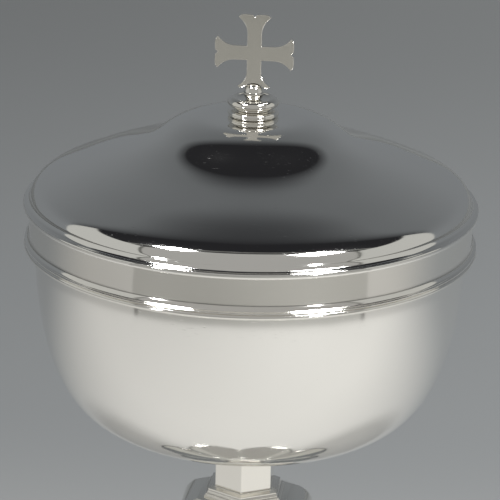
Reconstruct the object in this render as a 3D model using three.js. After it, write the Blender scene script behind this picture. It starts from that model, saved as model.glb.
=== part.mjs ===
import * as THREE from 'three';

// Covered altar cup on a six-sided stem, in millimetres, Z up.
// The origin is the middle of the foot's underside. The front is towards -Y,
// where one arris of the stem and one cusp of the foot point.
// Azimuths are counted from the front, towards +X.

// Foot, a six-lobed outline at the bottom and a hexagon at the top
const lobeReach = 67.2;
const cuspDepth = 17.7;
const footFlangeThickness = 1.6;
const footFlangeOverhang = 2.8;
const footFlangeInset = 3;
const galleryHeight = 4.6;
const galleryWall = 1;
const footLipHeight = 1.2;
const footLipOverhang = 1;
const footLipStep = 1.6;
const footRise = 36.6;
const footWall = 1.1;
const footTopRadius = 10.4;
const footSweep = 2.4;
const footCollarHeight = 4;
const footCollarRadius = 11.6;
const footCollarEdge = 0.3;

// Stem and knop, radii to the arris
const stemRadius = 8.95;
const stemWall = 1.05;
const lowerStemLength = 34.7;
const neckLength = 18.7;
const collarHeight = 2.8;
const collarEdgeHeight = 0.9;
const collarCurveHeight = 2.1;
const collarBaseRadius = 12.3;
const collarEdgeInset = 0.6;
const collarTopRadius = 11;
const collarShoulder = 0.1;
const knopRadius = 21.5;
const knopHalfHeight = 8.5;
const knopWall = 1.1;

// Bowl
const bowlRadius = 58.4;
const bowlDepth = 53.4;
const bowlWall = 1.2;
const bowlStraightPart = 0.9;
const bowlSidePower = 5.6;
const bowlFloorPower = 2.1;
const bowlSeatMargin = 0.55;
const rimWireThickness = 2.9;
const rimWireHeight = 1.5;

// Cover
const coverOverhang = 1.6;
const coverWall = 1;
const bandHeight = 9.5;
const bandLip = 1.2;
const bandLipHeight = 0.6;
const bandLipEdge = 0.2;
const bandCoveHeight = 2;
const domeLip = 1.45;
const domeLipHeight = 1.5;
const domeLipRound = 0.5;
const domeCoveHeight = 1.8;
const domeWallInset = 0.5;
const shoulderRise = 5.1;
const shoulderPower = 38;
const skirtSlope = 0.38;
const skirtStart = 16;
const skirtBend = 10;
const crownRise = 2.8;
const crownRadius = 25.3;
const crownPower = 13;
const bezelDepth = 7;
const bezelWall = 0.9;
const bezelPlay = 0.3;
const bezelFlange = 0.9;
const bezelEdge = 0.3;
const bezelEdgeHeight = 0.6;

// Finial
const baseBeadRadius = 6.9;
const baseBeadHeight = 1.8;
const ringRadius = 4.8;
const ringHeight = 0.7;
const capRadius = 7;
const capNeckRadius = 4.3;
const capHeight = 2.7;
const capRimHeight = 0.95;
const capEdge = 0.15;
const capTopInset = 1.8;
const capDishEdge = 0.3;
const capDishEdgeDrop = 0.1;
const capDishDepth = 0.8;
const ballRadius = 2.7;
const ballMiddleHeight = 1.1;
const crossMiddleHeight = 11;
const armReach = 10.6;
const armTipDrop = 0.8;
const armHalfWidth = 1.95;
const armTipHalfWidth = 4.4;
const armTipCorner = 0.55;
const armTipCornerDrop = 0.35;
const armStraightLength = 5.2;
const armSeatRadius = 3.9;
const armSeatDepth = 1.3;
const notchHalfWidth = 0.6;
const notchEdgeDrop = 0.1;
const crossThickness = 1.6;

// Hidden fastenings
const rodRadius = 2.5;
const rodChamfer = 0.4;
const rodEnd = 3;
const bossRadius = 6.2;
const bossHeight = 5;
const tieWasherDrop = 12;
const tieWasherThickness = 1.6;
const tieWasherClearance = 0.35;
const tieNutRadius = 5.8;
const tieNutHeight = 5;
const studRadius = 1.5;
const studChamfer = 0.25;
const studBelowDome = 5;
const finialWasherRadius = 5;
const finialWasherThickness = 0.8;
const finialNutRadius = 3.2;
const finialNutHeight = 2.4;

// Clearances between pieces that sit in or round one another
const fitGap = 0.05;
const seatGap = 0.06;
const studClearance = 0.2;

// Heights above the table, stacked from the foot to the rim of the dome
const galleryTop = footFlangeThickness + galleryHeight;
const footLipTop = galleryTop + footLipHeight;
const footShellTop = footLipTop + footRise;
const footCollarTop = footShellTop + footCollarHeight;
const lowerStemTop = footCollarTop + lowerStemLength;
const knopBottom = lowerStemTop + collarHeight;
const knopMiddle = knopBottom + knopHalfHeight;
const neckBottom = knopMiddle + knopHalfHeight + collarHeight;
const bowlBottom = neckBottom + neckLength;
const mouthHeight = bowlBottom + bowlDepth;
const domeEdge = mouthHeight + bandHeight;
const domeLipTop = domeEdge + domeLipHeight;

// Radii that follow from the bowl's and the stem's
const stemInnerRadius = stemRadius - stemWall;
const rimWireRadius = bowlRadius + rimWireThickness;
const wallRadius = bowlRadius + coverOverhang;

// Fineness of the meshes
const roundSteps = 40;
const smallSteps = 16;
const lobeSteps = 8;

const silver = { color: 0xe9e7e1, roughness: 0.12, metalness: 1 };
const whiteMetal = { color: 0xb9b6ac, roughness: 0.35, metalness: 1 };

const part = new THREE.Group();
part.name = 'ciborium';

function addPiece(name, geometry, finish) {
  const mesh = new THREE.Mesh(geometry, new THREE.MeshStandardMaterial(finish));
  mesh.name = name;
  part.add(mesh);
}

// Turns a closed outline of [radius, height] points about Z.
// Six steps give a hexagonal piece with an arris to the front.
function turned(outline, steps) {
  let doubleArea = 0;
  outline.forEach(([r, z], i) => {
    const [nextR, nextZ] = outline[(i + 1) % outline.length];
    doubleArea += r * nextZ - nextR * z;
  });
  const ordered = doubleArea > 0 ? outline.slice() : outline.slice().reverse();
  ordered.push(ordered[0]);
  const points = ordered.map(([r, z]) => new THREE.Vector2(r, z));
  return new THREE.LatheGeometry(points, steps).rotateX(Math.PI / 2);
}

// A solid rod or disc between two heights, built as a profile from axis to axis.
function turnedSolid(profile, steps) {
  const points = profile.map(([r, z]) => new THREE.Vector2(r, z));
  return new THREE.LatheGeometry(points, steps).rotateX(Math.PI / 2);
}

function tube(innerRadius, outerRadius, bottom, top) {
  return [[innerRadius, bottom], [outerRadius, bottom], [outerRadius, top], [innerRadius, top]];
}

// Points of an elliptical arc, angles in degrees, counted from outward to upward.
function arc(middle, radii, from, to, steps) {
  return Array.from({ length: steps + 1 }, (_, i) => {
    const angle = THREE.MathUtils.degToRad(from + ((to - from) * i) / steps);
    return [middle[0] + radii[0] * Math.cos(angle), middle[1] + radii[1] * Math.sin(angle)];
  });
}

// Moves each point of an open line sideways, to the left of its direction.
function offsetLine(line, distance) {
  return line.map(([r, z], i) => {
    const before = line[Math.max(i - 1, 0)];
    const after = line[Math.min(i + 1, line.length - 1)];
    const run = after[0] - before[0];
    const rise = after[1] - before[1];
    const length = Math.hypot(run, rise);
    return [r - (distance * rise) / length, z + (distance * run) / length];
  });
}

// Foot: the six-lobed outline, six circles whose middles stand off the axis

const cuspReach = lobeReach - cuspDepth;
const lobeMiddle = (lobeReach ** 2 - cuspReach ** 2)
  / (2 * (lobeReach - cuspReach * Math.cos(Math.PI / 6)));
const lobeRadius = lobeReach - lobeMiddle;

function angleFromLobe(azimuth) {
  const sixth = Math.PI / 3;
  return (((azimuth % sixth) + sixth) % sixth) - sixth / 2;
}

function lobedRadius(azimuth, growth) {
  const angle = angleFromLobe(azimuth);
  const across = lobeMiddle * Math.sin(angle);
  const reach = Math.max((lobeRadius + growth) ** 2 - across ** 2, 0);
  return lobeMiddle * Math.cos(angle) + Math.sqrt(reach);
}

function hexagonRadius(azimuth, arrisRadius) {
  return (arrisRadius * Math.cos(Math.PI / 6)) / Math.cos(angleFromLobe(azimuth));
}

// Joins closed outlines of points, one for each azimuth, into a ring-shaped body.
function ringOf(outlineAt) {
  const count = 6 * lobeSteps;
  const rings = Array.from({ length: count }, (_, i) => {
    const azimuth = (2 * Math.PI * i) / count;
    return outlineAt(azimuth).map(([r, z]) => [r * Math.sin(azimuth), -r * Math.cos(azimuth), z]);
  });
  const size = rings[0].length;
  const index = [];
  for (let i = 0; i < count; i += 1) {
    for (let j = 0; j < size; j += 1) {
      const a = i * size + j;
      const b = ((i + 1) % count) * size + j;
      const c = ((i + 1) % count) * size + ((j + 1) % size);
      const d = i * size + ((j + 1) % size);
      index.push(a, b, c, a, c, d);
    }
  }
  const geometry = new THREE.BufferGeometry();
  geometry.setAttribute('position', new THREE.Float32BufferAttribute(rings.flat(2), 3));
  geometry.setIndex(index);
  geometry.computeVertexNormals();
  return geometry;
}

addPiece('foot_flange', ringOf((azimuth) => tube(
  lobedRadius(azimuth, -footFlangeInset),
  lobedRadius(azimuth, footFlangeOverhang),
  0,
  footFlangeThickness,
)), silver);

addPiece('foot_gallery', ringOf((azimuth) => tube(
  lobedRadius(azimuth, -galleryWall),
  lobedRadius(azimuth, 0),
  footFlangeThickness,
  galleryTop,
)), silver);

// The shell's outer face sweeps in from the lobes to the hexagon.
function footFace(azimuth, height) {
  const level = (height - footLipTop) / (footShellTop - footLipTop);
  const low = lobedRadius(azimuth, footLipOverhang - footLipStep);
  const high = hexagonRadius(azimuth, footTopRadius);
  return high + (low - high) * (1 - level) ** footSweep;
}

function footFaceLine(azimuth) {
  const rows = 11;
  return Array.from({ length: rows + 1 }, (_, i) => {
    const height = footLipTop + (footShellTop - footLipTop) * (i / rows) ** 1.5;
    return [footFace(azimuth, height), height];
  });
}

addPiece('foot_shell', ringOf((azimuth) => {
  const face = footFaceLine(azimuth);
  const inside = offsetLine(face, footWall);
  const lip = lobedRadius(azimuth, footLipOverhang);
  const lipInside = lobedRadius(azimuth, -galleryWall);
  inside[inside.length - 1] = [hexagonRadius(azimuth, footTopRadius - footWall), footShellTop];
  inside[0] = [lipInside, galleryTop];
  return [[lip, galleryTop], [lip, footLipTop], ...face, ...inside.reverse()];
}), silver);

// Stem: hexagonal tubes and mouldings, held together by the rod inside

const footCollarTopRadius = stemRadius + footCollarEdge;
addPiece('foot_collar', turned([
  [stemInnerRadius, footShellTop],
  [footCollarRadius, footShellTop],
  ...arc(
    [footCollarRadius, footCollarTop],
    [footCollarRadius - footCollarTopRadius, 0.75 * footCollarHeight],
    270,
    180,
    5,
  ),
  [stemInnerRadius, footCollarTop],
], 6), silver);

addPiece('lower_stem', turned(
  tube(stemInnerRadius, stemRadius, footCollarTop, lowerStemTop),
  6,
), silver);

// One collar outline serves both ends of the knop: direction is 1 upwards or -1 downwards.
function knopCollar(direction) {
  const base = knopMiddle + direction * knopHalfHeight;
  return [
    [stemInnerRadius, base],
    [collarBaseRadius, base],
    [collarBaseRadius - collarEdgeInset, base + direction * collarEdgeHeight],
    [collarTopRadius, base + direction * collarCurveHeight],
    [stemRadius + collarShoulder, base + direction * collarHeight],
    [stemInnerRadius, base + direction * collarHeight],
  ];
}

function knopHalf(direction) {
  const steps = 9;
  const outside = arc(
    [collarBaseRadius, knopMiddle],
    [knopRadius - collarBaseRadius, direction * knopHalfHeight],
    90,
    0,
    steps,
  );
  const inside = arc(
    [collarBaseRadius, knopMiddle],
    [knopRadius - collarBaseRadius - knopWall, direction * (knopHalfHeight - knopWall)],
    0,
    90,
    steps,
  );
  const top = knopMiddle + direction * knopHalfHeight;
  const underTop = knopMiddle + direction * (knopHalfHeight - knopWall);
  return [[stemInnerRadius, top], ...outside, ...inside, [stemInnerRadius, underTop]];
}

addPiece('lower_knop_collar', turned(knopCollar(-1), 6), silver);
addPiece('knop_lower', turned(knopHalf(-1), 6), silver);
addPiece('knop_upper', turned(knopHalf(1), 6), silver);
addPiece('upper_knop_collar', turned(knopCollar(1), 6), silver);
addPiece('neck', turned(tube(stemInnerRadius, stemRadius, neckBottom, bowlBottom), 6), silver);

// Bowl: upright sides that turn in a full, rounded curve into a nearly flat bottom

const bowlSeatRadius = stemRadius + bowlSeatMargin;
const bowlCurveTop = mouthHeight - bowlStraightPart;
const bowlCurveDepth = bowlCurveTop - bowlBottom;

// From the bottom's seat outward and up, with the points close together at the seat.
function bowlFace() {
  const steps = 12;
  return Array.from({ length: steps }, (_, i) => {
    const angle = (Math.PI / 2) * (1 - ((i + 1) / steps) ** 2);
    const drop = bowlCurveDepth * Math.sin(angle) ** (2 / bowlFloorPower);
    return [bowlRadius * Math.cos(angle) ** (2 / bowlSidePower), bowlCurveTop - drop];
  });
}

const bowlOutside = [
  [0, bowlBottom],
  [bowlSeatRadius, bowlBottom],
  ...bowlFace(),
  [bowlRadius, mouthHeight],
];
const bowlInside = offsetLine(bowlOutside, bowlWall);
bowlInside[0] = [0, bowlBottom + bowlWall];
bowlInside[1] = [bowlSeatRadius, bowlBottom + bowlWall];
bowlInside[bowlInside.length - 1] = [bowlRadius - bowlWall, mouthHeight];
addPiece('bowl', turnedSolid([...bowlOutside, ...bowlInside.reverse()], roundSteps), silver);

const rimWireInner = bowlRadius + fitGap;
const rimWireRound = rimWireHeight / 2;
const rimWireMiddle = mouthHeight - rimWireRound;
addPiece('bowl_rim_wire', turned([
  [rimWireInner, mouthHeight - rimWireHeight],
  ...arc([rimWireRadius - rimWireRound, rimWireMiddle], [rimWireRound, rimWireRound], -90, 90, 6),
  [rimWireInner, mouthHeight],
], roundSteps), silver);

// Rod under the bowl, with the washer and nut that draw the foot and stem up to it

addPiece('bowl_boss', turned(
  tube(rodRadius + fitGap, bossRadius, bowlBottom - bossHeight, bowlBottom),
  smallSteps,
), whiteMetal);

const tieWasherTop = footShellTop - tieWasherDrop + tieWasherThickness;
const tieWasherBottom = tieWasherTop - tieWasherThickness;
const tieNutBottom = tieWasherBottom - tieNutHeight;
const rodBottom = tieNutBottom - rodEnd;
const rodTop = bowlBottom - rodChamfer;
addPiece('tie_rod', turnedSolid([
  [0, rodBottom],
  [rodRadius - rodChamfer, rodBottom],
  [rodRadius, rodBottom + rodChamfer],
  [rodRadius, rodTop],
  [0, rodTop],
], smallSteps), whiteMetal);

const tieWasherRadius = footFace(Math.PI / 6, tieWasherTop) - footWall - tieWasherClearance;
addPiece('tie_washer', turned(
  tube(rodRadius + fitGap, tieWasherRadius, tieWasherBottom, tieWasherTop),
  smallSteps,
), whiteMetal);

// A nut is turned with six steps, and its bore is made round by the rod's own clearance.
function nut(boreRadius, arrisRadius, bottom, height) {
  const bore = boreRadius / Math.cos(Math.PI / 6);
  const chamfer = arrisRadius * 0.12;
  return [
    [bore, bottom],
    [arrisRadius - chamfer, bottom],
    [arrisRadius, bottom + chamfer / 2],
    [arrisRadius, bottom + height - chamfer / 2],
    [arrisRadius - chamfer, bottom + height],
    [bore, bottom + height],
  ];
}

addPiece('tie_nut', turned(
  nut(rodRadius + fitGap, tieNutRadius, tieNutBottom, tieNutHeight),
  6,
), whiteMetal);

// Cover: a domed top with a turned-out edge, a plain band below it, and a bezel
// that drops inside the bowl

const domeWallFoot = wallRadius - domeWallInset;

// How far the dome has fallen at a radius: from a flat top over a round crown, down a
// straight skirt, and over a tight shoulder into the wall.
function domeDrop(radius) {
  const shoulder = 1 - Math.sqrt(1 - (radius / wallRadius) ** shoulderPower);
  const skirt = (radius ** skirtBend + skirtStart ** skirtBend) ** (1 / skirtBend) - skirtStart;
  const crown = 1 - 1 / (1 + (radius / crownRadius) ** crownPower);
  return shoulderRise * shoulder + skirtSlope * skirt + crownRise * crown;
}

const domeTop = domeLipTop + domeCoveHeight + domeDrop(domeWallFoot);

// A hollow quarter curve that runs in from a lip to the wall above it.
function cove(lip, wall) {
  return arc([lip[0], wall[1]], [lip[0] - wall[0], wall[1] - lip[1]], 270, 180, 4);
}

const domeHoleRadius = studRadius + studClearance;

function domeFace() {
  const steps = 23;
  const firstAngle = Math.asin(domeWallFoot / wallRadius);
  const lastAngle = Math.asin(domeHoleRadius / wallRadius);
  return Array.from({ length: steps + 1 }, (_, i) => {
    const radius = wallRadius * Math.sin(firstAngle + ((lastAngle - firstAngle) * i) / steps);
    return [radius, domeTop - domeDrop(radius)];
  });
}

const domeOutside = domeFace();
const domeInside = offsetLine(domeOutside, coverWall);
domeInside[domeInside.length - 1] = [domeHoleRadius, domeTop - coverWall];
const domeLipRadius = wallRadius + domeLip;
const lipMiddleRadius = domeLipRadius - domeLipRound;
const lipRadii = [domeLipRound, domeLipRound];
addPiece('cover_dome', turned([
  [wallRadius - coverWall, domeEdge],
  ...arc([lipMiddleRadius, domeEdge + domeLipRound], lipRadii, -90, 0, 3),
  ...arc([lipMiddleRadius, domeLipTop - domeLipRound], lipRadii, 0, 75, 3),
  ...cove([lipMiddleRadius, domeLipTop], domeOutside[0]),
  ...domeOutside.slice(1),
  ...domeInside.reverse(),
], roundSteps), silver);

const bandLipRadius = wallRadius + bandLip;
const bandLipTop = mouthHeight + bandLipHeight;
addPiece('cover_band', turned([
  [wallRadius - coverWall, mouthHeight],
  [bandLipRadius - bandLipEdge, mouthHeight],
  [bandLipRadius, mouthHeight + bandLipEdge],
  [bandLipRadius, bandLipTop - bandLipEdge],
  ...cove([bandLipRadius - bandLipEdge, bandLipTop], [wallRadius, bandLipTop + bandCoveHeight]),
  [wallRadius, domeEdge],
  [wallRadius - coverWall, domeEdge],
], roundSteps), silver);

const bezelOuter = bowlRadius - bowlWall - bezelPlay;
const bezelInner = bezelOuter - bezelWall;
const bezelFlangeOuter = wallRadius - coverWall - fitGap;
const bezelBottom = mouthHeight - bezelDepth;
addPiece('cover_bezel', turned([
  [bezelInner, bezelBottom],
  [bezelOuter - bezelEdge, bezelBottom],
  [bezelOuter, bezelBottom + bezelEdgeHeight],
  [bezelOuter, mouthHeight],
  [bezelFlangeOuter, mouthHeight],
  [bezelFlangeOuter, mouthHeight + bezelFlange],
  [bezelInner, mouthHeight + bezelFlange],
], roundSteps), silver);

// Finial: a bead, a thin ring, a dished cap and a ball, with a flat cross standing on the ball

const boreRadius = studRadius + fitGap;
const baseBeadRound = baseBeadHeight / 2;
const ringBottom = domeTop + baseBeadHeight;
const capBottom = ringBottom + ringHeight;
const capTop = capBottom + capHeight;
const ballMiddle = capTop + ballMiddleHeight;
const crossMiddle = ballMiddle + crossMiddleHeight;

addPiece('finial_base_bead', turned([
  [boreRadius, domeTop],
  ...arc(
    [baseBeadRadius - baseBeadRound, domeTop + baseBeadRound],
    [baseBeadRound, baseBeadRound],
    -90,
    90,
    8,
  ),
  [boreRadius, ringBottom],
], smallSteps), silver);

const ringRound = ringHeight / 2;
addPiece('finial_ring', turned([
  [boreRadius, ringBottom],
  ...arc([ringRadius - ringRound, capBottom - ringRound], [ringRound, ringRound], -90, 90, 6),
  [boreRadius, capBottom],
], smallSteps), silver);

// The cap flares from its neck to a rim and rounds over into a dish. The ball lies in the
// dish, in a hollow that follows it a seat's gap away.
const seatRadius = ballRadius + seatGap;
const seatLevel = (ballMiddleHeight + capDishDepth) / seatRadius;
const capSeatAngle = THREE.MathUtils.radToDeg(Math.asin(seatLevel));
const seatOutline = arc([0, ballMiddle], [seatRadius, seatRadius], -capSeatAngle, -90, 5);
seatOutline[seatOutline.length - 1][0] = 0;
const capTopRadius = capRadius - capTopInset;
const capRim = capBottom + capRimHeight + capEdge;
addPiece('finial_cap', turnedSolid([
  [0, capBottom],
  [capNeckRadius, capBottom],
  [capRadius - capEdge, capBottom + capRimHeight],
  ...arc([capTopRadius, capRim], [capTopInset, capTop - capRim], 0, 90, 6),
  [capTopRadius - capDishEdge, capTop - capDishEdgeDrop],
  ...seatOutline,
], smallSteps), silver);

addPiece('finial_ball', new THREE.SphereGeometry(ballRadius, smallSteps, 10)
  .rotateX(Math.PI / 2)
  .translate(0, 0, ballMiddle), silver);

// One arm of the cross, from its left inner corner to its right one.
// Each point is [across, along], and along is counted from the cross's middle.
function armHalf(reach) {
  const flareRun = reach - armTipDrop - armStraightLength;
  const flareRise = armTipHalfWidth - armHalfWidth;
  const flareRadius = (flareRun ** 2 + flareRise ** 2) / (2 * flareRise);
  const turn = THREE.MathUtils.radToDeg(Math.asin(flareRun / flareRadius));
  const middle = [armHalfWidth + flareRadius, armStraightLength];
  return arc(middle, [flareRadius, flareRadius], 180, 180 - turn, 6);
}

const plainEnd = [
  [armTipHalfWidth / 2, armReach],
  [notchHalfWidth, armReach - notchEdgeDrop],
  [0, armReach - armTipDrop],
];

// The lower arm is shorter, and its end is hollowed to stand on the ball.
const hollowTop = crossMiddleHeight - ballRadius - seatGap;
const lowerArmReach = hollowTop + armSeatDepth + armTipCornerDrop;
const hollowAngle = THREE.MathUtils.radToDeg(Math.asin(1 - armSeatDepth / armSeatRadius));
const seatedEnd = arc(
  [0, hollowTop + armSeatRadius],
  [-armSeatRadius, -armSeatRadius],
  180 - hollowAngle,
  90,
  6,
);

function armOutline(reach, end) {
  const corner = [armTipHalfWidth - armTipCorner, reach - armTipCornerDrop];
  const right = [[armHalfWidth, armHalfWidth], ...armHalf(reach), corner, ...end];
  const left = right.slice(0, -1).map(([across, along]) => [-across, along]);
  return [...left, ...right.reverse()];
}

const crossOutline = [0, 1, 2, 3].flatMap((quarter) => {
  const arm = quarter === 2
    ? armOutline(lowerArmReach, seatedEnd)
    : armOutline(armReach, plainEnd);
  const angle = (-Math.PI / 2) * quarter;
  return arm.slice(0, -1).map(([across, along]) => new THREE.Vector2(
    across * Math.cos(angle) - along * Math.sin(angle),
    across * Math.sin(angle) + along * Math.cos(angle),
  ));
});

addPiece('finial_cross', new THREE.ExtrudeGeometry(new THREE.Shape(crossOutline), {
  depth: crossThickness,
  bevelEnabled: false,
}).rotateX(Math.PI / 2).translate(0, crossThickness / 2, crossMiddle), silver);

// Stud through the dome, with its washer and nut inside the cover

const washerTop = domeTop - coverWall - fitGap;
const washerBottom = washerTop - finialWasherThickness;
const studBottom = domeTop - studBelowDome;

addPiece('finial_stud', turnedSolid([
  [0, studBottom],
  [studRadius - studChamfer, studBottom],
  [studRadius, studBottom + studChamfer],
  [studRadius, capBottom],
  [0, capBottom],
], smallSteps), whiteMetal);

addPiece('finial_washer', turned(
  tube(boreRadius, finialWasherRadius, washerBottom, washerTop),
  smallSteps,
), whiteMetal);

addPiece('finial_nut', turned(
  nut(boreRadius, finialNutRadius, washerBottom - finialNutHeight, finialNutHeight),
  6,
), whiteMetal);

export default part;
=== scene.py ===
import math

import bmesh
import bpy
from mathutils import Matrix, Vector


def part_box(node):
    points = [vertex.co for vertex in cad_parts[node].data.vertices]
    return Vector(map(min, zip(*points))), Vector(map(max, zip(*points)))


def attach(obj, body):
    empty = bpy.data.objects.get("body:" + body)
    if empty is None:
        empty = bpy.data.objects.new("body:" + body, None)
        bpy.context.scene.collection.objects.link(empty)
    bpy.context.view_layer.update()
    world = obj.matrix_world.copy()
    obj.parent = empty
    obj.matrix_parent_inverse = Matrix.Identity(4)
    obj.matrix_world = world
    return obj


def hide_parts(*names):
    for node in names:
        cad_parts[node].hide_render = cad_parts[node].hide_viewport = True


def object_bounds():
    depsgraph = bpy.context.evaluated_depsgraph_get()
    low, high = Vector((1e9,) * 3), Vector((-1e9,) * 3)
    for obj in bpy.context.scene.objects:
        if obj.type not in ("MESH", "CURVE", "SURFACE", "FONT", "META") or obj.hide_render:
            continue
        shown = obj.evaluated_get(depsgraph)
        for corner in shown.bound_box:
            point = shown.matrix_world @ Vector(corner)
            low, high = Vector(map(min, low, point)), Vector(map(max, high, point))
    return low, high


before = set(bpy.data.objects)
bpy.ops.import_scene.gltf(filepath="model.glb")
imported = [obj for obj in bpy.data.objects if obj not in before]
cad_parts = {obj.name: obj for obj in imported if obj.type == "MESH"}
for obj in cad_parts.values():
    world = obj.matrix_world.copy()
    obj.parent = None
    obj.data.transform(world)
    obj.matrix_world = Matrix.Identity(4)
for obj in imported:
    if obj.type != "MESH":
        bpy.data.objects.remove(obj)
cad_low, cad_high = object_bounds()
MM = 0.001

# Foot flange. A flat six-lobed ring of sheet silver, sawn to the foot's outline and soldered
# under the gallery. The cup stands on it, so its underside is rubbed dull by tables.

LOBES = 6
ROUND_STEPS = 192
FULL_TURN = 2 * math.pi
ON_AXIS = 1e-7


def place(azimuth, radius, height):
    """A point at an azimuth counted from the front, towards the right."""
    return Vector((radius * math.sin(azimuth), -radius * math.cos(azimuth), height))


def shaded(shape, name, sharp_angle):
    """Closes the bmesh into an object whose faces are smooth up to an angle in degrees."""
    bmesh.ops.recalc_face_normals(shape, faces=shape.faces)
    mesh = bpy.data.meshes.new(name)
    shape.to_mesh(mesh)
    shape.free()
    mesh.shade_smooth()
    mesh.set_sharp_from_angle(angle=math.radians(sharp_angle))
    made = bpy.data.objects.new(name, mesh)
    bpy.context.scene.collection.objects.link(made)
    return made


def spin_round(shape, corners, steps):
    """Joins the corners into a closed outline, except along the axis, and spins it once
    round the axis."""
    pairs = zip(corners, corners[1:] + corners[:1])
    edges = [shape.edges.new(pair) for pair in pairs if max(abs(v.co.y) for v in pair) > ON_AXIS]
    bmesh.ops.spin(
        shape,
        geom=corners + edges,
        cent=(0, 0, 0),
        axis=(0, 0, 1),
        angle=FULL_TURN,
        steps=steps,
        use_merge=True,
    )


def lobed_ring(name, outline_at, sharp_angle):
    """Spins the front cross-section of (radius, height) points round the axis, then moves
    every corner to where the cross-section at its own azimuth has it."""
    shape = bmesh.new()
    row = shape.verts.layers.int.new("row")
    corners = []
    for i, (radius, height) in enumerate(outline_at(0)):
        corner = shape.verts.new(place(0, radius, height))
        corner[row] = i
        corners.append(corner)
    spin_round(shape, corners, ROUND_STEPS)
    sections = [outline_at(FULL_TURN * i / ROUND_STEPS) for i in range(ROUND_STEPS)]
    for corner in shape.verts:
        turned_by = math.atan2(corner.co.x, -corner.co.y) / FULL_TURN
        step = round(turned_by * ROUND_STEPS) % ROUND_STEPS
        corner.co = place(FULL_TURN * step / ROUND_STEPS, *sections[step][corner[row]])
    return shaded(shape, name, sharp_angle)


def noise(tree, spot, scale, detail):
    """Random patches, with a number of them per metre."""
    texture = tree.nodes.new("ShaderNodeTexNoise")
    texture.inputs["Scale"].default_value = scale
    texture.inputs["Detail"].default_value = detail
    tree.links.new(spot, texture.inputs["Vector"])
    return texture.outputs["Fac"]


def ranged(tree, value, taken, given=(0, 1), interpolation="LINEAR"):
    """Stretches one range of a value over another, and holds it to that one."""
    stretch = tree.nodes.new("ShaderNodeMapRange")
    stretch.interpolation_type = interpolation
    for socket, limit in zip(("From Min", "From Max", "To Min", "To Max"), (*taken, *given)):
        stretch.inputs[socket].default_value = limit
    tree.links.new(value, stretch.inputs["Value"])
    return stretch.outputs["Result"]


def combined(tree, operation, *values):
    """A sum, product, minimum or the like of one or two values."""
    result = tree.nodes.new("ShaderNodeMath")
    result.operation = operation
    for socket, value in zip(result.inputs, values):
        tree.links.new(value, socket)
    return result.outputs["Value"]


def over(tree, below, colour, mask, blend_type="MIX"):
    """Lays a colour over another where the mask is 1."""
    blend = tree.nodes.new("ShaderNodeMix")
    blend.data_type = "RGBA"
    blend.blend_type = blend_type
    for socket, value in ((blend.inputs["A"], below), (blend.inputs["B"], colour)):
        if isinstance(value, tuple):
            socket.default_value = (*value, 1)
        else:
            tree.links.new(value, socket)
    tree.links.new(mask, blend.inputs["Factor"])
    return blend.outputs["Result"]


tone_patches = 28
dull_patches = (0.35, 0.75)
scratch_directions = ((0.35, 1.0), (1.45, 0.8), (2.5, 1.3))
scratches_along = 60
scratches_across = 2600
scratch_peaks = (0.70, 0.82)
dust_spots = 260
pit_size = (0.04, 0.08)
pit_depth = 0.02 * MM


def silver(name, tint, shade, roughness, waviness, wave_length, hairlines, specks=0.0):
    """Polished silver: a soft patchy tone, slow waves from the hammer and the polishing mop,
    hairline scratches in three directions, and a few dust pits."""
    material = bpy.data.materials.new(name)
    material.use_nodes = True
    tree = material.node_tree
    shader = tree.nodes["Principled BSDF"]
    shader.inputs["Metallic"].default_value = 1.0
    spot = tree.nodes.new("ShaderNodeTexCoord").outputs["Object"]

    patches = noise(tree, spot, tone_patches, 4)
    tree.links.new(over(tree, tint, shade, patches), shader.inputs["Base Color"])

    scratches = []
    for turn, spread in scratch_directions:
        direction = tree.nodes.new("ShaderNodeMapping")
        direction.inputs["Rotation"].default_value = (turn, 0.6 * turn, turn)
        stretched = (scratches_along * spread, scratches_across, scratches_across)
        direction.inputs["Scale"].default_value = stretched
        tree.links.new(spot, direction.inputs["Vector"])
        streaks = noise(tree, direction.outputs["Vector"], 1, 1)
        scratches.append(ranged(tree, streaks, scratch_peaks))
    scratched = combined(tree, "ADD", scratches[0], scratches[1])
    scratched = combined(tree, "ADD", scratched, scratches[2])
    gloss = ranged(tree, scratched, (0, 1), (roughness, roughness + hairlines))
    cloud = ranged(tree, patches, dull_patches, (0, 0.5 * roughness))
    tree.links.new(combined(tree, "ADD", gloss, cloud), shader.inputs["Roughness"])

    slow_relief = tree.nodes.new("ShaderNodeBump")
    slow_relief.inputs["Strength"].default_value = 1.0
    slow_relief.inputs["Distance"].default_value = waviness
    tree.links.new(noise(tree, spot, 1 / wave_length, 1.5), slow_relief.inputs["Height"])

    dust = tree.nodes.new("ShaderNodeTexVoronoi")
    dust.inputs["Scale"].default_value = dust_spots
    tree.links.new(spot, dust.inputs["Vector"])
    pits = ranged(tree, dust.outputs["Distance"], pit_size, (specks, 0))
    fine_relief = tree.nodes.new("ShaderNodeBump")
    fine_relief.inputs["Strength"].default_value = 0.5
    fine_relief.inputs["Distance"].default_value = pit_depth
    fine_relief.invert = True
    tree.links.new(pits, fine_relief.inputs["Height"])
    tree.links.new(slow_relief.outputs["Normal"], fine_relief.inputs["Normal"])
    tree.links.new(fine_relief.outputs["Normal"], shader.inputs["Normal"])
    return material


def fit(piece, material, body, node):
    """Gives the piece its material and puts it in the place of its CAD node."""
    piece.data.materials.append(material)
    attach(piece, body)
    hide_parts(node)


flange_low, flange_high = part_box("foot_flange")
gallery_low, gallery_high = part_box("foot_gallery")
lobe_reach = gallery_high.x
lobe_depth = 17.7 * MM
cusp_reach = lobe_reach - lobe_depth
flange_overhang = flange_high.x - lobe_reach
flange_inset = 3 * MM
flange_edge = 0.3 * MM
flange_shoulder = 0.4 * MM
lobe_middle = (lobe_reach**2 - cusp_reach**2) / (
    2 * (lobe_reach - cusp_reach * math.cos(math.pi / LOBES))
)
lobe_radius = lobe_reach - lobe_middle


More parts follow.
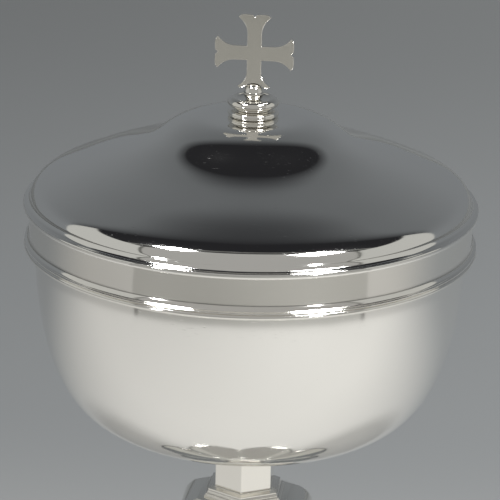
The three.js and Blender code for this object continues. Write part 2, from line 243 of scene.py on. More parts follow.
def angle_from_lobe(azimuth):
    """How far an azimuth is from the middle of the lobe that it falls in."""
    sector = FULL_TURN / LOBES
    return azimuth % sector - sector / 2


def lobed_radius(azimuth, growth):
    """Reach of the six-lobed outline, grown outwards by a distance."""
    angle = angle_from_lobe(azimuth)
    across = lobe_middle * math.sin(angle)
    reach = max((lobe_radius + growth) ** 2 - across**2, 0)
    return lobe_middle * math.cos(angle) + math.sqrt(reach)


def flange_section(azimuth):
    inner = lobed_radius(azimuth, -flange_inset)
    outer = lobed_radius(azimuth, flange_overhang)
    edge = lobed_radius(azimuth, flange_overhang - flange_edge)
    low = flange_low.z
    high = flange_high.z
    return [
        (inner, low),
        (edge, low),
        (outer, low + flange_edge),
        (outer, high - flange_shoulder),
        (edge, high),
        (inner, high),
    ]


foot_silver = silver(
    "foot_silver",
    tint=(0.93, 0.92, 0.89),
    shade=(0.88, 0.87, 0.83),
    roughness=0.07,
    waviness=0.05 * MM,
    wave_length=14 * MM,
    hairlines=0.16,
    specks=0.6,
)
foot_flange = lobed_ring("foot_flange_plate", flange_section, sharp_angle=50)
fit(foot_flange, foot_silver, "base", "foot_flange")

# Foot gallery. A strip of silver bent round the six lobes and soldered edge to edge, which
# lifts the foot off its flange. A fine step runs along its top and bottom.

gallery_wall = 1 * MM
gallery_step = 0.35 * MM
border_face = 0.8 * MM
border_foot = 1.1 * MM


def gallery_section(azimuth):
    outer = lobed_radius(azimuth, 0)
    waist = lobed_radius(azimuth, -gallery_step)
    inner = lobed_radius(azimuth, -gallery_wall)
    low = gallery_low.z
    high = gallery_high.z
    return [
        (inner, low),
        (outer, low),
        (outer, low + border_face),
        (waist, low + border_foot),
        (waist, high - border_foot),
        (outer, high - border_face),
        (outer, high),
        (inner, high),
    ]


foot_gallery = lobed_ring("foot_gallery_strip", gallery_section, sharp_angle=40)
fit(foot_gallery, foot_silver, "base", "foot_gallery")

# Foot shell. The raised foot, hammered up from one sheet: six lobes at the rim, which sweep
# in to a hexagon under the stem, with a crease from each cusp up to an arris.

shell_low, shell_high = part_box("foot_shell")
lip_overhang = shell_high.x - lobe_reach
lip_step = 1.6 * MM
lip_thickness = 1.2 * MM
lip_top = shell_low.z + lip_thickness
lip_round = 0.35 * MM
foot_wall = 1.1 * MM
foot_top_radius = 10.4 * MM
foot_sweep = 2.4
shell_rows = 40
row_spacing = 1.6


def hexagon_radius(azimuth, arris_radius):
    return arris_radius * math.cos(math.pi / 6) / math.cos(angle_from_lobe(azimuth))


def shell_radius(azimuth, height, inset):
    level = (height - lip_top) / (shell_high.z - lip_top)
    low = lobed_radius(azimuth, lip_overhang - lip_step)
    high = hexagon_radius(azimuth, foot_top_radius)
    return high + (low - high) * (1 - level) ** foot_sweep - inset


def shell_section(azimuth):
    lip = lobed_radius(azimuth, lip_overhang)
    lip_edge = lobed_radius(azimuth, lip_overhang - lip_round)
    levels = [(i / shell_rows) ** row_spacing for i in range(shell_rows + 1)]
    heights = [lip_top + (shell_high.z - lip_top) * level for level in levels]
    outside = [(shell_radius(azimuth, z, 0), z) for z in heights]
    inside = []
    for z, following in zip(heights[1:-1], heights[2:]):
        run = shell_radius(azimuth, following, 0) - shell_radius(azimuth, z, 0)
        slope = math.hypot(run, following - z)
        inside.append((
            shell_radius(azimuth, z, 0) - foot_wall * (following - z) / slope,
            z + foot_wall * run / slope,
        ))
    return [
        (lobed_radius(azimuth, -gallery_wall), shell_low.z),
        (lip_edge, shell_low.z),
        (lip, shell_low.z + lip_round),
        (lip, lip_top - lip_round),
        (lip_edge, lip_top),
        *outside,
        (hexagon_radius(azimuth, foot_top_radius - foot_wall), shell_high.z),
        *reversed(inside),
    ]


foot_shell = lobed_ring("foot_shell_raised", shell_section, sharp_angle=28)
fit(foot_shell, foot_silver, "base", "foot_shell")

# Stem. Hexagonal tubes folded from sheet and soldered along one edge, with a hollow moulding
# where the lower one meets the foot. Their arrises are crisp but not sharp.


def round_edges(shape, keen_angle, width):
    """Rounds the edges whose faces meet at more than an angle in degrees."""
    keen = [e for e in shape.edges if e.calc_face_angle(0) > math.radians(keen_angle)]
    bmesh.ops.bevel(
        shape,
        geom=keen,
        offset=width,
        segments=2,
        profile=0.5,
        affect="EDGES",
        material=-1,
    )


def turned(name, outline, steps=ROUND_STEPS, sharp_angle=30, arris=0.0):
    """Spins a closed outline of (radius, height) points, and rounds its keen edges by the
    width in arris."""
    shape = bmesh.new()
    corners = [shape.verts.new((0, -r, z)) for r, z in outline]
    spin_round(shape, corners, steps)
    bmesh.ops.remove_doubles(shape, verts=shape.verts, dist=0.0005 * MM)
    bmesh.ops.recalc_face_normals(shape, faces=shape.faces)
    if arris:
        round_edges(shape, 25, arris)
    return shaded(shape, name, sharp_angle)


def hexagonal(name, outline, arris):
    """A six-sided piece with an arris to the front, from its outline along that arris."""
    return turned(name, outline, steps=6, sharp_angle=12, arris=arris)


def arc(middle, radii, start, end, steps):
    """Points of an elliptical arc, angles in degrees, from outward to upward."""
    points = []
    for i in range(steps + 1):
        angle = math.radians(start + (end - start) * i / steps)
        across = middle[0] + radii[0] * math.cos(angle)
        points.append((across, middle[1] + radii[1] * math.sin(angle)))
    return points


stem_low, stem_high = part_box("lower_stem")
neck_low, neck_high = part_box("neck")
collar_low, collar_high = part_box("foot_collar")
stem_radius = -stem_low.y
tube_wall = 1.05 * MM
stem_inner = stem_radius - tube_wall
stem_arris = 0.18 * MM
fine_arris = 0.08 * MM
collar_lip = 0.3 * MM


def hexagonal_tube(name, low, high):
    outline = [
        (stem_inner, low),
        (stem_radius, low),
        (stem_radius, high),
        (stem_inner, high),
    ]
    return hexagonal(name, outline, stem_arris)


stem_silver = silver(
    "stem_silver",
    tint=(0.93, 0.91, 0.87),
    shade=(0.87, 0.85, 0.80),
    roughness=0.10,
    waviness=0.03 * MM,
    wave_length=6 * MM,
    hairlines=0.14,
    specks=0.4,
)
lower_stem = hexagonal_tube("lower_stem_tube", stem_low.z, stem_high.z)
fit(lower_stem, stem_silver, "base", "lower_stem")
neck = hexagonal_tube("neck_tube", neck_low.z, neck_high.z)
fit(neck, stem_silver, "base", "neck")

foot_collar_radius = -collar_low.y
foot_collar_top = stem_radius + collar_lip
foot_collar_hollow = 0.75 * (collar_high.z - collar_low.z)
foot_collar = hexagonal(
    "foot_collar_moulding",
    [
        (stem_inner, collar_low.z),
        (foot_collar_radius, collar_low.z),
        *arc(
            (foot_collar_radius, collar_high.z),
            (foot_collar_radius - foot_collar_top, foot_collar_hollow),
            270,
            180,
            10,
        ),
        (stem_inner, collar_high.z),
    ],
    fine_arris,
)
fit(foot_collar, stem_silver, "base", "foot_collar")

# Knop. Two hexagonal dishes stamped from sheet and soldered at the middle, between two
# stepped hexagonal mouldings. It is what the hand holds, so it is the least scratched.

upper_low, upper_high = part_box("knop_upper")
upper_collar_low, upper_collar_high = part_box("upper_knop_collar")
knop_radius = -upper_low.y
knop_middle = upper_low.z
knop_half = upper_high.z - knop_middle
knop_wall = 1.1 * MM
knop_arris = 0.3 * MM
collar_base = -upper_collar_low.y
collar_rise = upper_collar_high.z - upper_collar_low.z
collar_step = 0.6 * MM
collar_hollow = 0.7 * MM


def knop_outline(direction):
    reach = knop_radius - collar_base
    middle = (collar_base, knop_middle)
    outside = arc(middle, (reach, direction * knop_half), 90, 0, 24)
    inside = arc(middle, (reach - knop_wall, direction * (knop_half - knop_wall)), 0, 90, 16)
    return [
        (stem_inner, knop_middle + direction * knop_half),
        *outside,
        *inside,
        (stem_inner, knop_middle + direction * (knop_half - knop_wall)),
    ]


def knop_collar_outline(direction):
    """A fillet, a step, a hollow and a lip, at shares of the collar's height."""
    base = knop_middle + direction * knop_half
    rise = collar_rise * direction
    step = collar_base - collar_step
    return [
        (stem_inner, base),
        (collar_base, base),
        (collar_base, base + 0.15 * rise),
        (step, base + 0.33 * rise),
        *arc((step, base + 0.85 * rise), (collar_hollow, -0.45 * rise), 90, 180, 10),
        (stem_radius + collar_lip, base + 0.93 * rise),
        (stem_radius + 0.1 * MM, base + rise),
        (stem_inner, base + rise),
    ]


knop_silver = silver(
    "knop_silver",
    tint=(0.93, 0.92, 0.88),
    shade=(0.88, 0.86, 0.81),
    roughness=0.06,
    waviness=0.04 * MM,
    wave_length=8 * MM,
    hairlines=0.08,
    specks=0.3,
)
for direction, half_node, collar_node in (
    (1, "knop_upper", "upper_knop_collar"),
    (-1, "knop_lower", "lower_knop_collar"),
):
    half = hexagonal(half_node + "_dish", knop_outline(direction), knop_arris)
    fit(half, knop_silver, "base", half_node)
    collar = hexagonal(collar_node + "_moulding", knop_collar_outline(direction), fine_arris)
    fit(collar, stem_silver, "base", collar_node)

# Bowl. Spun from one disc: nearly upright sides that turn in to a shallow, rounded bottom.
# Its outside reflects the table, and is softened by many years of wiping.

bowl_low, bowl_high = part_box("bowl")
bowl_radius = bowl_high.x
bowl_wall = 1.2 * MM
bowl_straight = 0.9 * MM
bowl_curve_top = bowl_high.z - bowl_straight
bowl_seat = 9.5 * MM
bowl_side_power = 5.6
bowl_floor_power = 2.1


def offset_line(line, distance):
    """Moves each point of an open line sideways, to the left of its direction."""
    moved = []
    for i, (r, z) in enumerate(line):
        before = line[max(i - 1, 0)]
        after = line[min(i + 1, len(line) - 1)]
        run = after[0] - before[0]
        rise = after[1] - before[1]
        length = math.hypot(run, rise)
        moved.append((r - distance * rise / length, z + distance * run / length))
    return moved


def bowl_face():
    steps = 72
    depth = bowl_curve_top - bowl_low.z
    points = []
    for i in range(1, steps + 1):
        angle = math.pi / 2 * (1 - (i / steps) ** 2)
        drop = depth * math.sin(angle) ** (2 / bowl_floor_power)
        reach = bowl_radius * math.cos(angle) ** (2 / bowl_side_power)
        points.append((reach, bowl_curve_top - drop))
    return [(r, z) for r, z in points if r > bowl_seat]


bowl_outside = [
    (0, bowl_low.z),
    (bowl_seat, bowl_low.z),
    *bowl_face(),
    (bowl_radius, bowl_high.z),
]
bowl_inside = offset_line(bowl_outside, bowl_wall)
bowl_inside[0] = (0, bowl_low.z + bowl_wall)
bowl_inside[-1] = (bowl_radius - bowl_wall, bowl_high.z)
bowl_silver = silver(
    "bowl_silver",
    tint=(0.93, 0.92, 0.90),
    shade=(0.89, 0.88, 0.85),
    roughness=0.075,
    waviness=0.06 * MM,
    wave_length=22 * MM,
    hairlines=0.18,
    specks=0.5,
)
bowl = turned("bowl_spun", [*bowl_outside, *reversed(bowl_inside)])
fit(bowl, bowl_silver, "base", "bowl")

# Rim wire. A half-round wire soldered round the outside of the bowl's mouth, on which the
# cover's lower edge comes down. A dark line of shadow and old polish lies between the two.


def half_round(reach, low, high, steps):
    """A half circle between two heights, out to a radius."""
    bulge = (high - low) / 2
    return arc((reach - bulge, low + bulge), (bulge, bulge), -90, 90, steps)


wire_low, wire_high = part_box("bowl_rim_wire")
wire_gap = 0.05 * MM
wire_inner = bowl_radius + wire_gap
wire = turned(
    "bowl_rim_wire_half_round",
    [
        (wire_inner, wire_low.z),
        *half_round(wire_high.x, wire_low.z, wire_high.z, 16),
        (wire_inner, wire_high.z),
    ],
)
rim_silver = silver(
    "rim_silver",
    tint=(0.93, 0.92, 0.89),
    shade=(0.86, 0.84, 0.80),
    roughness=0.08,
    waviness=0.02 * MM,
    wave_length=9 * MM,
    hairlines=0.12,
    specks=0.4,
)
fit(wire, rim_silver, "base", "bowl_rim_wire")

# Cover dome. Raised from one sheet: a flat top, a steep round crown, a straight skirt and a
# tight shoulder, with a turned-out edge that stands over the band. It is the brightest piece.

dome_low, dome_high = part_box("cover_dome")
band_low, band_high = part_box("cover_band")
band_overhang = 1.2 * MM
wall_radius = band_high.x - band_overhang
cover_wall = 1 * MM
dome_lip = 1.5 * MM
dome_lip_top = dome_low.z + dome_lip
dome_foot_inset = 0.5 * MM
dome_foot = wall_radius - dome_foot_inset
dome_hole = 1.7 * MM
shoulder_rise = 5.1 * MM
shoulder_power = 38
skirt_slope = 0.38
skirt_start = 16 * MM
skirt_bend = 10
crown_rise = 2.8 * MM
crown_radius = 25.3 * MM
crown_power = 13
belly = 0.3 * MM
belly_inner = 33 * MM
belly_outer = 57 * MM


def dome_height(radius):
    shoulder = 1 - math.sqrt(1 - (radius / wall_radius) ** shoulder_power)
    reach = ((radius / skirt_start) ** skirt_bend + 1) ** (1 / skirt_bend) - 1
    crown = 1 - 1 / (1 + (radius / crown_radius) ** crown_power)
    skirt = skirt_slope * skirt_start * reach
    across = min(max((radius - belly_inner) / (belly_outer - belly_inner), 0), 1)
    swell = belly * math.sin(math.pi * across) ** 2
    return dome_high.z + swell - shoulder_rise * shoulder - skirt - crown_rise * crown


def dome_face():
    steps = 96
    first = math.asin(dome_foot / wall_radius)
    last = math.asin(dome_hole / wall_radius)
    points = []
    for i in range(steps + 1):
        radius = wall_radius * math.sin(first + (last - first) * i / steps)
        points.append((radius, dome_height(radius)))
    return points


def cove(lip, wall):
    """A hollow quarter curve from a lip in to the wall above it."""
    return arc((lip[0], wall[1]), (lip[0] - wall[0], wall[1] - lip[1]), 270, 180, 8)


dome_outside = dome_face()
dome_inside = offset_line(dome_outside, cover_wall)
dome_inside[-1] = (dome_hole, dome_high.z - cover_wall)
dome_lip_round = 0.5 * MM
lip_middle = dome_high.x - dome_lip_round
lip_radii = (dome_lip_round, dome_lip_round)
dome = turned(
    "cover_dome_raised",
    [
        (wall_radius - cover_wall, dome_low.z),
        *arc((lip_middle, dome_low.z + dome_lip_round), lip_radii, -90, 0, 5),
        *arc((lip_middle, dome_lip_top - dome_lip_round), lip_radii, 0, 75, 5),
        *cove((lip_middle, dome_lip_top), dome_outside[0]),
        *dome_outside[1:],
        *reversed(dome_inside),
    ],
    sharp_angle=40,
)
dome_silver = silver(
    "dome_silver",
    tint=(0.93, 0.92, 0.90),
    shade=(0.90, 0.89, 0.86),
    roughness=0.05,
    waviness=0.03 * MM,
    wave_length=24 * MM,
    hairlines=0.14,
    specks=0.8,
)
fit(dome, dome_silver, "cover", "cover_dome")

# Cover band. A strip rolled into a hoop under the dome, with its lower edge turned out to
# match the rim wire. A fine groove parts it from the dome, and its face is plain.

band_lip = 0.6 * MM
band_lip_top = band_low.z + band_lip
band_lip_edge = 0.2 * MM
band_lip_face = band_high.x - band_lip_edge
band_cove = 2 * MM
joint_height = 0.3 * MM
joint_depth = 0.45 * MM
band = turned(
    "cover_band_hoop",
    [
        (wall_radius - cover_wall, band_low.z),
        (band_lip_face, band_low.z),
        (band_high.x, band_low.z + band_lip_edge),
        (band_high.x, band_lip_top - band_lip_edge),
        *cove((band_lip_face, band_lip_top), (wall_radius, band_lip_top + band_cove)),
        (wall_radius, band_high.z - joint_height),
        (wall_radius - joint_depth, band_high.z - joint_height),
        (wall_radius - joint_depth, band_high.z),
        (wall_radius - cover_wall, band_high.z),
    ],
    sharp_angle=40,
)
band_silver = silver(
    "band_silver",
    tint=(0.93, 0.92, 0.89),
    shade=(0.89, 0.87, 0.83),
    roughness=0.07,
    waviness=0.07 * MM,
    wave_length=10 * MM,
    hairlines=0.16,
    specks=0.6,
)
fit(band, band_silver, "cover", "cover_band")

# Cover bezel. A ring soldered inside the band, which drops into the bowl's mouth and keeps
# the loose cover in its place. Its lower edge is rounded off to lead it in.

bezel_low, bezel_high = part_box("cover_bezel")
bezel_play = 0.3 * MM
bezel_wall = 0.9 * MM
bezel_flange = 0.9 * MM
bezel_edge = 0.2 * MM
bezel_lead = 0.3 * MM
bezel_lead_rise = 0.6 * MM
bezel_outer = bowl_radius - bowl_wall - bezel_play
bezel_inner = bezel_outer - bezel_wall
bezel = turned(
    "cover_bezel_ring",
    [
        (bezel_inner, bezel_low.z + bezel_edge),
        (bezel_inner + bezel_edge, bezel_low.z),
        (bezel_outer - bezel_lead, bezel_low.z),
        (bezel_outer, bezel_low.z + bezel_lead_rise),
        (bezel_outer, bezel_high.z - bezel_flange),
        (bezel_high.x, bezel_high.z - bezel_flange),
        (bezel_high.x, bezel_high.z),
        (bezel_inner, bezel_high.z),
    ],
)
fit(bezel, rim_silver, "cover", "cover_bezel")

# Finial base. A round bead on the dome, a thin ring and a cap with a dished top, turned one
# by one and threaded on a stud. They are small and bright, with dark lines where they meet.

bead_low, bead_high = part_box("finial_base_bead")
ring_low, ring_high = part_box("finial_ring")
cap_low, cap_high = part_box("finial_cap")
ball_low, ball_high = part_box("finial_ball")
stud_bore = 1.55 * MM
finial_silver = silver(
    "finial_silver",
    tint=(0.94, 0.92, 0.88),
    shade=(0.84, 0.82, 0.77),
    roughness=0.06,
    waviness=0.015 * MM,
    wave_length=3 * MM,
    hairlines=0.08,
    specks=0.3,
)
bead = turned(
    "finial_base_bead_turned",
    [
        (stud_bore, bead_low.z),
        *half_round(bead_high.x, bead_low.z, bead_high.z, 24),
        (stud_bore, bead_high.z),
    ],
    steps=96,
)
fit(bead, finial_silver, "cover", "finial_base_bead")

ring = turned(
    "finial_ring_turned",
    [
        (stud_bore, ring_low.z),
        *half_round(ring_high.x, ring_low.z, ring_high.z, 14),
        (stud_bore, ring_high.z),
    ],
    steps=96,
)
fit(ring, finial_silver, "cover", "finial_ring")

ball_radius = (ball_high.z - ball_low.z) / 2
ball_middle = (ball_high.z + ball_low.z) / 2
seat_gap = 0.06 * MM
seat_radius = ball_radius + seat_gap
dish_depth = 0.8 * MM
seat_angle = math.degrees(math.asin((ball_middle - cap_high.z + dish_depth) / seat_radius))
seat = arc((0, ball_middle), (seat_radius, seat_radius), -seat_angle, -90, 12)
seat[-1] = (0, seat[-1][1])
seat_edge, seat_height = seat[0]
cap_radius = cap_high.x
cap_neck = 4.3 * MM
cap_edge = 0.15 * MM
cap_rim = 0.95 * MM
cap_top_inset = 1.8 * MM
dish_inset = 0.3 * MM
dish_drop = 0.1 * MM
cap_top = cap_radius - cap_top_inset
cap_round = cap_high.z - cap_low.z - cap_rim - cap_edge
rim_height = cap_low.z + cap_rim
dish_edge = cap_top - dish_inset
dish_height = cap_high.z - dish_drop
cap = turned(
    "finial_cap_turned",
    [
        (0, cap_low.z),
        *arc((cap_neck, rim_height), (cap_radius - cap_edge - cap_neck, -cap_rim), 90, 30, 8),
        (cap_radius - cap_edge, rim_height),
        *arc((cap_top, rim_height + cap_edge), (cap_radius - cap_top, cap_round), 0, 90, 20),
        *arc((seat_edge, dish_height), (dish_edge - seat_edge, dish_height - seat_height), 0, -80, 8),
        *seat,
    ],
    steps=96,
    sharp_angle=35,
)
fit(cap, finial_silver, "cover", "finial_cap")

# Ball. A small round bead of silver that carries the cross, turned in one piece and brazed
# into the hollow of the cap.

half_circle = arc((0, ball_middle), (ball_radius, ball_radius), -90, 90, 40)
half_circle[0] = (0, half_circle[0][1])
half_circle[-1] = (0, half_circle[-1][1])
ball = turned("finial_ball_turned", half_circle, steps=80)
fit(ball, finial_silver, "cover", "finial_ball")

# Cross. Sawn from thick sheet: flared arms with a nick in the middle of each end, filed
# edges, and flat faces left a little duller than the turned work below.

cross_low, cross_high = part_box("finial_cross")
arm_reach = cross_high.x
cross_middle = cross_high.z - arm_reach
arm_half = 1.95 * MM
arm_tip_half = 4.4 * MM
arm_tip_drop = 0.8 * MM
arm_straight = 5.2 * MM
corner_inset = 0.55 * MM
corner_drop = 0.35 * MM
hollow_radius = 3.9 * MM
hollow_depth = 1.3 * MM
nick_half = 0.6 * MM
nick_edge = 0.1 * MM
filed_edge = 0.16 * MM
hollow_top = cross_middle - ball_middle - seat_radius
lower_reach = hollow_top + hollow_depth + corner_drop


def arm_side(reach):
    run = reach - arm_tip_drop - arm_straight
    rise = arm_tip_half - arm_half
    curve = (run**2 + rise**2) / (2 * rise)
    turn = math.degrees(math.asin(run / curve))
    return arc((arm_half + curve, arm_straight), (curve, curve), 180, 180 - turn, 12)


def plain_end():
    middle = (arm_tip_half / 2, arm_reach - corner_drop)
    bulge = arc(middle, (arm_tip_half / 2 - corner_inset, corner_drop), 0, 90, 6)
    return [*bulge, (nick_half, arm_reach - nick_edge), (0, arm_reach - arm_tip_drop)]


def seated_end():
    start = 180 - math.degrees(math.asin(1 - hollow_depth / hollow_radius))
    corner = (arm_tip_half - corner_inset, lower_reach - corner_drop)
    middle = (0, hollow_top + hollow_radius)
    return [corner, *arc(middle, (-hollow_radius, -hollow_radius), start, 90, 12)]


def arm_outline(reach, end):
    right = [(arm_half, arm_half), *arm_side(reach), *end]
    left = [(-across, along) for across, along in right[:-1]]
    return [*left, *reversed(right)]


plain_arm = arm_outline(arm_reach, plain_end())
lower_arm = arm_outline(lower_reach, seated_end())
cross_shape = bmesh.new()
cross_corners = []
for quarter, outline in enumerate((plain_arm, plain_arm, lower_arm, plain_arm)):
    angle = -math.pi / 2 * quarter
    for across, along in outline[:-1]:
        x = across * math.cos(angle) - along * math.sin(angle)
        z = across * math.sin(angle) + along * math.cos(angle)
        cross_corners.append(cross_shape.verts.new((x, cross_low.y, cross_middle + z)))
cross_face = cross_shape.faces.new(cross_corners)
pushed = bmesh.ops.extrude_face_region(cross_shape, geom=[cross_face])
moved = [item for item in pushed["geom"] if isinstance(item, bmesh.types.BMVert)]
bmesh.ops.translate(cross_shape, verts=moved, vec=(0, cross_high.y - cross_low.y, 0))
bmesh.ops.recalc_face_normals(cross_shape, faces=cross_shape.faces)
round_edges(cross_shape, 60, filed_edge)
cross = shaded(cross_shape, "finial_cross_sawn", 15)
cross_silver = silver(
    "cross_silver",
    tint=(0.92, 0.90, 0.85),
    shade=(0.84, 0.82, 0.76),
    roughness=0.15,
    waviness=0.006 * MM,
    wave_length=4 * MM,
    hairlines=0.12,
    specks=0.5,
)
fit(cross, cross_silver, "cover", "finial_cross")

# Hidden fastenings. A rod from the bowl's boss draws foot and stem together with a washer
# and nut inside the foot, and a stud with its own nut holds the finial under the dome.

white_metal = silver(
    "white_metal",
    tint=(0.66, 0.64, 0.60),
    shade=(0.55, 0.52, 0.47),
    roughness=0.30,
    waviness=0.01 * MM,
    wave_length=2 * MM,
    hairlines=0.15,
)
nut_arris = 0.06 * MM


def rod(name, node, body, chamfer):
    low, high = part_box(node)
    radius = high.x
    piece = turned(
        name,
        [
            (0, low.z),
            (radius - chamfer, low.z),
            (radius, low.z + chamfer),
            (radius, high.z),
            (0, high.z),
        ],
        steps=48,
    )
    fit(piece, white_metal, body, node)


def washer(name, node, body, bore):
    low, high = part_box(node)
    edge = 0.12 * MM
    piece = turned(
        name,
        [
            (bore, low.z),
            (high.x - edge, low.z),
            (high.x, low.z + edge),
            (high.x, high.z - edge),
            (high.x - edge, high.z),
            (bore, high.z),
        ],
        steps=64,
    )
    fit(piece, white_metal, body, node)


def nut(name, node, body, bore):
    low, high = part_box(node)
    arris_radius = -low.y
    chamfer = 0.12 * arris_radius
    bore_arris = bore / math.cos(math.pi / 6)
    piece = hexagonal(
        name,
        [
            (bore_arris, low.z),
            (arris_radius - chamfer, low.z),
            (arris_radius, low.z + chamfer / 2),
            (arris_radius, high.z - chamfer / 2),
            (arris_radius - chamfer, high.z),
            (bore_arris, high.z),
        ],
        nut_arris,
    )
    fit(piece, white_metal, body, node)


rod_bore = 2.55 * MM
rod("tie_rod_turned", "tie_rod", "base", 0.4 * MM)
rod("finial_stud_turned", "finial_stud", "cover", 0.25 * MM)
washer("bowl_boss_turned", "bowl_boss", "base", rod_bore)
washer("tie_washer_turned", "tie_washer", "base", rod_bore)
washer("finial_washer_turned", "finial_washer", "cover", stud_bore)
nut("tie_nut_milled", "tie_nut", "base", rod_bore)
nut("finial_nut_milled", "finial_nut", "cover", stud_bore)

# Studio floor. A sheet of matt paper, near white round the cup, with painted shade that makes it a
# little darker on the left. Painted shade turns it grey behind the cup, paler again far behind, and
# it meets a front and two side cards with short seams.

floor_half = 6.0
floor_shape = bmesh.new()
bmesh.ops.create_grid(floor_shape, x_segments=8, y_segments=8, size=floor_half)
floor = shaded(floor_shape, "floor", 30)
floor.location = (0, 0, cad_low.z)


def along(tree, spot, direction):
    """How far a spot lies along a direction."""
    reach = tree.nodes.new("ShaderNodeVectorMath")
    reach.operation = "DOT_PRODUCT"
    reach.inputs[1].default_value = direction
    tree.links.new(spot, reach.inputs[0])
    return reach.outputs["Value"]


def soft_step(tree, value, start, end):
    """0 on the side of start and 1 on the side of end, and soft between them."""
    return ranged(tree, value, (start, end), interpolation="SMOOTHSTEP")


floor_paper = bpy.data.materials.new("floor_paper")
floor_paper.use_nodes = True
paper_tree = floor_paper.node_tree
paper = paper_tree.nodes["Principled BSDF"]
paper.inputs["Roughness"].default_value = 0.9
paper.inputs["Specular IOR Level"].default_value = 0.1
paper_spot = paper_tree.nodes.new("ShaderNodeTexCoord").outputs["Object"]

near_paper = (0.86, 0.85, 0.82)
side_card = (0.61, 0.60, 0.575)
front_card = (0.46, 0.455, 0.43)
card_seam = (0.16, 0.155, 0.145)
# Painted shade: the grey that the floor takes behind the cup stands in for light falling off there.
shade_painted_behind = (0.37, 0.385, 0.395)
far_sweep = (0.74, 0.77, 0.79)
# Painted shade: the floor is made a little darker on the left, in place of less light reaching it
# there.
shade_painted_on_left = (0.78, 0.78, 0.78)
left_seam = math.radians(-51.8)
right_seam = math.radians(65.2)
left_side = (math.cos(left_seam), math.sin(left_seam), 0)
right_side = (-math.cos(right_seam), -math.sin(right_seam), 0)
from_left_seam = along(paper_tree, paper_spot, left_side)
from_right_seam = along(paper_tree, paper_spot, right_side)
inside_front = combined(paper_tree, "MINIMUM", from_left_seam, from_right_seam)
paper_length = paper_tree.nodes.new("ShaderNodeVectorMath")
paper_length.operation = "LENGTH"
paper_tree.links.new(paper_spot, paper_length.inputs[0])
from_cup = paper_length.outputs["Value"]
paper_depth = along(paper_tree, paper_spot, (0, 1, 0))
paper_side = along(paper_tree, paper_spot, (1, 0, 0))

on_cards = soft_step(paper_tree, from_cup, 0.462, 0.480)
past_seam = soft_step(paper_tree, inside_front, -0.004, 0.004)
on_front = combined(paper_tree, "MULTIPLY", on_cards, past_seam)
at_seam = soft_step(paper_tree, combined(paper_tree, "ABSOLUTE", inside_front), 0.012, 0.006)
on_seam = combined(paper_tree, "MULTIPLY", on_cards, at_seam)
seam_end = soft_step(paper_tree, from_cup, 0.55, 0.51)
on_seam = combined(paper_tree, "MULTIPLY", on_seam, seam_end)
# Where the painted shade behind the cup lies.
behind_painted_shade_mask = soft_step(paper_tree, paper_depth, -0.15, 0.30)
far_back = soft_step(paper_tree, paper_depth, 0.80, 2.20)
# Where the painted shade on the left lies.
left_painted_shade_mask = soft_step(paper_tree, paper_side, 0.30, -0.35)

paper_tone = over(paper_tree, near_paper, side_card, on_cards)
paper_tone = over(paper_tree, paper_tone, front_card, on_front)
paper_tone = over(paper_tree, paper_tone, card_seam, on_seam)
# Painted shade: the floor turns grey behind the cup, and paler again far behind.
paper_tone = over(paper_tree, paper_tone, shade_painted_behind, behind_painted_shade_mask)
paper_tone = over(paper_tree, paper_tone, far_sweep, far_back)
# Painted shade: the left side of the floor is made a little darker.
paper_tone = over(paper_tree, paper_tone, shade_painted_on_left, left_painted_shade_mask, "MULTIPLY")
paper_tree.links.new(paper_tone, paper.inputs["Base Color"])
floor.data.materials.append(floor_paper)

# Studio walls. The cup stands in a white light tent: pale panels at the front and sides with
# a dark seam between them, the grey sweep behind, and overhead the unlit room, whose edge at
# the front is a slot between two panels. The tent faces the camera.

studio = bpy.data.worlds.new("light_tent")
bpy.context.scene.world = studio
studio.use_nodes = True
sky_tree = studio.node_tree
sky = sky_tree.nodes["Background"]
tent_turn = math.radians(6.2)
sky_place = sky_tree.nodes.new("ShaderNodeTexCoord")
sky_turned = sky_tree.nodes.new("ShaderNodeMapping")
sky_turned.inputs["Rotation"].default_value = (0, 0, -tent_turn)
sky_tree.links.new(sky_place.outputs["Generated"], sky_turned.inputs["Vector"])
sky_split = sky_tree.nodes.new("ShaderNodeSeparateXYZ")
sky_tree.links.new(sky_turned.outputs["Vector"], sky_split.inputs["Vector"])


def with_side(side):
    """The direction with another measure in place of its left or right part."""
    joined = sky_tree.nodes.new("ShaderNodeCombineXYZ")
    sky_tree.links.new(side, joined.inputs["X"])
    sky_tree.links.new(sky_split.outputs["Y"], joined.inputs["Y"])
    sky_tree.links.new(sky_split.outputs["Z"], joined.inputs["Z"])
    return joined.outputs["Vector"]


sky_side = sky_split.outputs["X"]
folded = with_side(combined(sky_tree, "ABSOLUTE", sky_side))
bowed = with_side(combined(sky_tree, "MULTIPLY", sky_side, sky_side))


def beyond_plane(normal, start, end, direction=folded):
    """A soft step along a plane's normal, the same left and right."""
    return soft_step(sky_tree, along(sky_tree, direction, normal), start, end)


side_panel = (0.50, 0.50, 0.475)
front_panel = (0.375, 0.37, 0.355)
seam = (0.12, 0.12, 0.11)
sweep_low = (0.20, 0.212, 0.222)
sweep_high = (0.12, 0.127, 0.133)
slot_light = (0.20, 0.20, 0.19)
slot = (0.035, 0.035, 0.035)
room = (0.018, 0.018, 0.020)
front_plane = (-0.568, -0.676, 0.302)
sweep_plane = (-0.241, 0.900, -0.364)
room_plane = (0.3, 0.1, 1)
room_bow = (0.6, 0.1, 1)
behind = (0, 1, 0)
upward = (0, 0, 1)

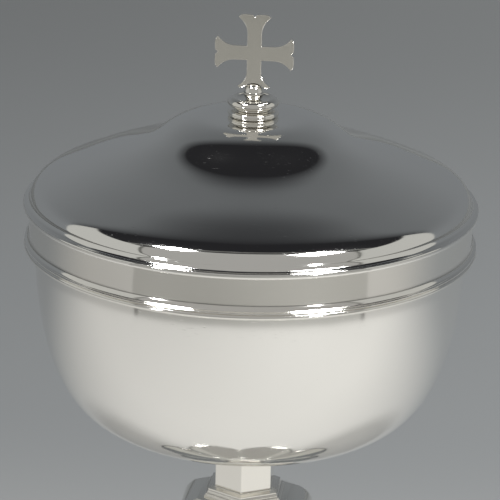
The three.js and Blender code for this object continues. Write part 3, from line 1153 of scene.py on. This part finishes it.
walls = over(sky_tree, side_panel, seam, beyond_plane(front_plane, -0.022, -0.008))
walls = over(sky_tree, walls, front_panel, beyond_plane(front_plane, 0.004, 0.02))
overhead = over(sky_tree, front_panel, slot, beyond_plane(behind, -0.20, -0.17))
overhead = over(sky_tree, overhead, slot_light, beyond_plane(behind, -0.10, -0.07))
overhead = over(sky_tree, overhead, room, beyond_plane(behind, -0.05, -0.02))
walls = over(sky_tree, walls, overhead, beyond_plane(room_plane, 0.925, 0.94))
sweep = over(sky_tree, sweep_low, sweep_high, beyond_plane(upward, 0.20, 0.95))
sweep = over(sky_tree, sweep, room, beyond_plane(room_bow, 0.87, 0.985, bowed))
walls = over(sky_tree, walls, sweep, beyond_plane(sweep_plane, -0.045, -0.015))
sky_tree.links.new(walls, sky.inputs["Color"])
sky.inputs["Strength"].default_value = 1.0

# Soft boxes. Two over the cup, left and right of it, and two small lamps low in front, whose
# images run round the shoulder and the rims.

aim_point = Vector((0, 0, 0.18))


def soft_box(name, spot, width, length, power):
    lamp = bpy.data.lights.new(name, "AREA")
    lamp.shape = "RECTANGLE"
    lamp.size = width
    lamp.size_y = length
    lamp.energy = power
    stand = bpy.data.objects.new(name, lamp)
    bpy.context.scene.collection.objects.link(stand)
    stand.location = spot
    stand.rotation_euler = (aim_point - Vector(spot)).to_track_quat("-Z", "Y").to_euler()


soft_box("soft_box_left", (-0.51, -0.25, 1.37), width=0.22, length=0.26, power=7.5)
soft_box("soft_box_right", (0.54, -0.28, 1.35), width=0.34, length=0.32, power=8.0)
soft_box("lamp_left", (-0.74, -0.95, 0.24), width=0.10, length=0.10, power=1.2)
soft_box("lamp_right", (0.74, -0.95, 0.24), width=0.10, length=0.10, power=1.2)

# Camera. It stands a little to the right of the cup's front and looks down on the cover,
# turned slightly on its axis, as the photograph was taken.

photo_size = 500
focal_pixels = 2758
sensor_width = 36
camera_distance = 0.75
camera_azimuth = tent_turn
camera_elevation = math.radians(18.78)
camera_roll = math.radians(1.33)
mouth_height = 176.5 * MM
mouth_rise = 9.32

camera_data = bpy.data.cameras.new("camera")
camera_data.sensor_width = sensor_width
camera_data.lens = sensor_width * focal_pixels / photo_size
camera = bpy.data.objects.new("camera", camera_data)
bpy.context.scene.collection.objects.link(camera)
back = Vector((
    math.sin(camera_azimuth) * math.cos(camera_elevation),
    -math.cos(camera_azimuth) * math.cos(camera_elevation),
    math.sin(camera_elevation),
))
looked_at = Vector((0, 0, mouth_height))
camera_up = (Vector((0, 0, 1)) - back * back.z).normalized()
spot = looked_at + back * camera_distance
aimed_at = looked_at - camera_up * camera_distance * mouth_rise / focal_pixels
turn = (aimed_at - spot).to_track_quat("-Z", "Y").to_matrix().to_4x4()
camera.matrix_world = Matrix.Translation(spot) @ turn @ Matrix.Rotation(camera_roll, 4, "Z")
bpy.context.scene.camera = camera
bpy.context.scene.view_settings.view_transform = "Standard"
